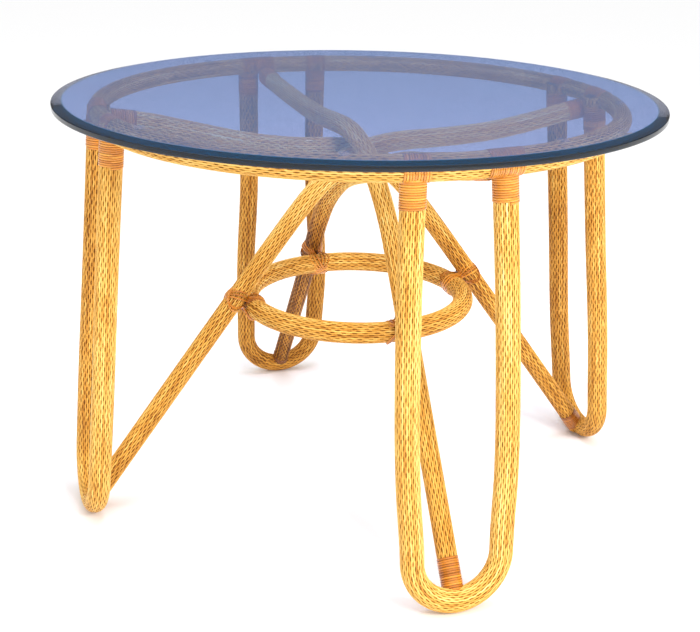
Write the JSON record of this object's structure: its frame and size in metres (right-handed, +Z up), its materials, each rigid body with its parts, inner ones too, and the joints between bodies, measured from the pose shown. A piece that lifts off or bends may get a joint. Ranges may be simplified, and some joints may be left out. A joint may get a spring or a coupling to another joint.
{
  "type": "rattan dining table",
  "caption": "Round glass-topped dining table on a covered cane-pole base of U-shaped legs, bent crossing braces, a ring under the glass and a lower hoop.",
  "frame": {"origin": "on the floor below the middle of the round top", "axes": "+Z up; the front leg is on -Y, the right leg on +X, the back leg on +Y, the left leg on -X"},
  "size_m": [1.0699, 1.0794, 0.7449],
  "materials": {
    "tinted_glass": "polished, with a bevelled edge",
    "clear_pad": "clear soft plastic",
    "cane_pole": "natural cane pole",
    "woven_cover": "braided split cane, lacquered",
    "dowel": "plain hardwood",
    "peel_binding": "glossy cane peel",
    "screw": "zinc plated"
  },
  "bodies": {
    "frame": {"glass_pads": "clear_pad", "ring_core": "cane_pole", "ring_cover": "woven_cover", "ring_dowel": "dowel", "leg_front_core": "cane_pole", "leg_right_core": "cane_pole", "leg_back_core": "cane_pole", "leg_left_core": "cane_pole", "leg_front_cover": "woven_cover", "leg_right_cover": "woven_cover", "leg_back_cover": "woven_cover", "leg_left_cover": "woven_cover", "brace_front_core": "cane_pole", "brace_right_core": "cane_pole", "brace_back_core": "cane_pole", "brace_left_core": "cane_pole", "brace_front_cover": "woven_cover", "brace_right_cover": "woven_cover", "brace_back_cover": "woven_cover", "brace_left_cover": "woven_cover", "hoop_core": "cane_pole", "hoop_cover": "woven_cover", "hoop_dowel": "dowel", "post_lashing_front": "peel_binding", "post_lashing_right": "peel_binding", "post_lashing_back": "peel_binding", "post_lashing_left": "peel_binding", "foot_lashing_front": "peel_binding", "foot_lashing_right": "peel_binding", "foot_lashing_back": "peel_binding", "foot_lashing_left": "peel_binding", "arm_lashing_front": "peel_binding", "arm_lashing_right": "peel_binding", "arm_lashing_back": "peel_binding", "arm_lashing_left": "peel_binding", "hoop_lashing_front": "peel_binding", "hoop_lashing_right": "peel_binding", "hoop_lashing_back": "peel_binding", "hoop_lashing_left": "peel_binding", "post_screws": "screw", "foot_screws": "screw", "arm_screws": "screw", "hoop_screws": "screw"},
    "glass": {"glass_top": "tinted_glass"}
  },
  "joints": [
    {"name": "glass_lift", "type": "slide", "parent": "frame", "child": "glass", "axis": [0, 0, 1], "range_m": [0, 0.3]}
  ]
}
